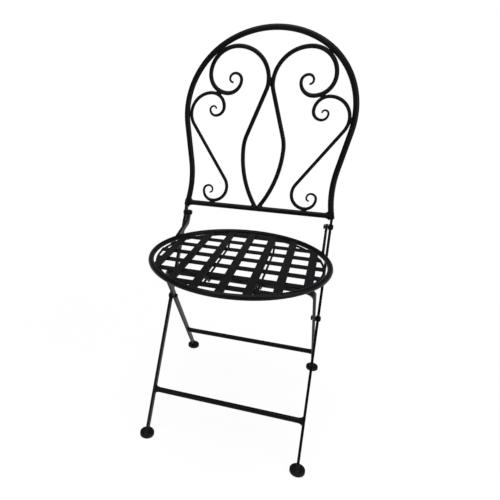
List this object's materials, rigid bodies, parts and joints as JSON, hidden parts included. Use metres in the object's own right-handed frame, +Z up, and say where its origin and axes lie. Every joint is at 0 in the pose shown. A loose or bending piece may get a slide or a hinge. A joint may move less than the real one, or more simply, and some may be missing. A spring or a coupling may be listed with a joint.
{
  "type": "folding balcony chair",
  "caption": "Folding metal balcony chair with a round strap-lattice seat, an arched back filled with scrollwork, and crossed flat-bar legs on plastic glides.",
  "frame": {"origin": "on the floor, below the middle of the open chair's width and length", "axes": "+Z up, +X to the sitter's left, the chair's front towards -Y"},
  "size_m": [0.4064, 0.4964, 0.9039],
  "materials": {
    "frame_coat": "satin black powder coat",
    "seat_coat": "satin black powder coat",
    "glide_plastic": "matte moulded",
    "pivot_hardware": "black coated"
  },
  "bodies": {
    "back_frame": {"back_hoop": "frame_coat", "back_rail": "frame_coat", "lyre_bar_left": "frame_coat", "lyre_bar_right": "frame_coat", "side_scroll_left": "frame_coat", "side_scroll_right": "frame_coat", "front_leg_left": "frame_coat", "front_leg_right": "frame_coat", "front_stretcher": "frame_coat", "front_glide_left": "glide_plastic", "front_glide_right": "glide_plastic", "leg_pivot_bolts": "pivot_hardware", "leg_pivot_washers": "pivot_hardware", "leg_pivot_nuts": "pivot_hardware", "seat_pivot_bolts": "pivot_hardware", "seat_pivot_washers": "pivot_hardware", "seat_pivot_nuts": "pivot_hardware"},
    "seat": {"seat_ring": "seat_coat", "seat_inner_ring": "seat_coat", "seat_arm_left": "seat_coat", "seat_arm_right": "seat_coat", "seat_runner_left": "seat_coat", "seat_runner_right": "seat_coat", "long_strap_1": "seat_coat", "long_strap_2": "seat_coat", "long_strap_3": "seat_coat", "long_strap_4": "seat_coat", "long_strap_5": "seat_coat", "long_strap_6": "seat_coat", "long_strap_7": "seat_coat", "cross_strap_1": "seat_coat", "cross_strap_2": "seat_coat", "cross_strap_3": "seat_coat", "cross_strap_4": "seat_coat", "cross_strap_5": "seat_coat", "cross_strap_6": "seat_coat", "cross_strap_7": "seat_coat"},
    "rear_legs": {"rear_leg_frame": "frame_coat", "rear_stretcher": "frame_coat", "rear_glide_left": "glide_plastic", "rear_glide_right": "glide_plastic"}
  },
  "joints": [
    {"name": "seat_fold", "type": "hinge", "parent": "back_frame", "child": "seat", "pos_m": [0, 0.12276, 0.47157], "axis": [-1, 0, 0], "range_deg": [0, 105]},
    {"name": "leg_fold", "type": "hinge", "parent": "back_frame", "child": "rear_legs", "pos_m": [0, 0.00975, 0.289], "axis": [-1, 0, 0], "range_deg": [0, 58]}
  ],
  "couplings": [
    {"joint": "leg_fold", "follows": "seat_fold", "ratio": 0.552}
  ]
}
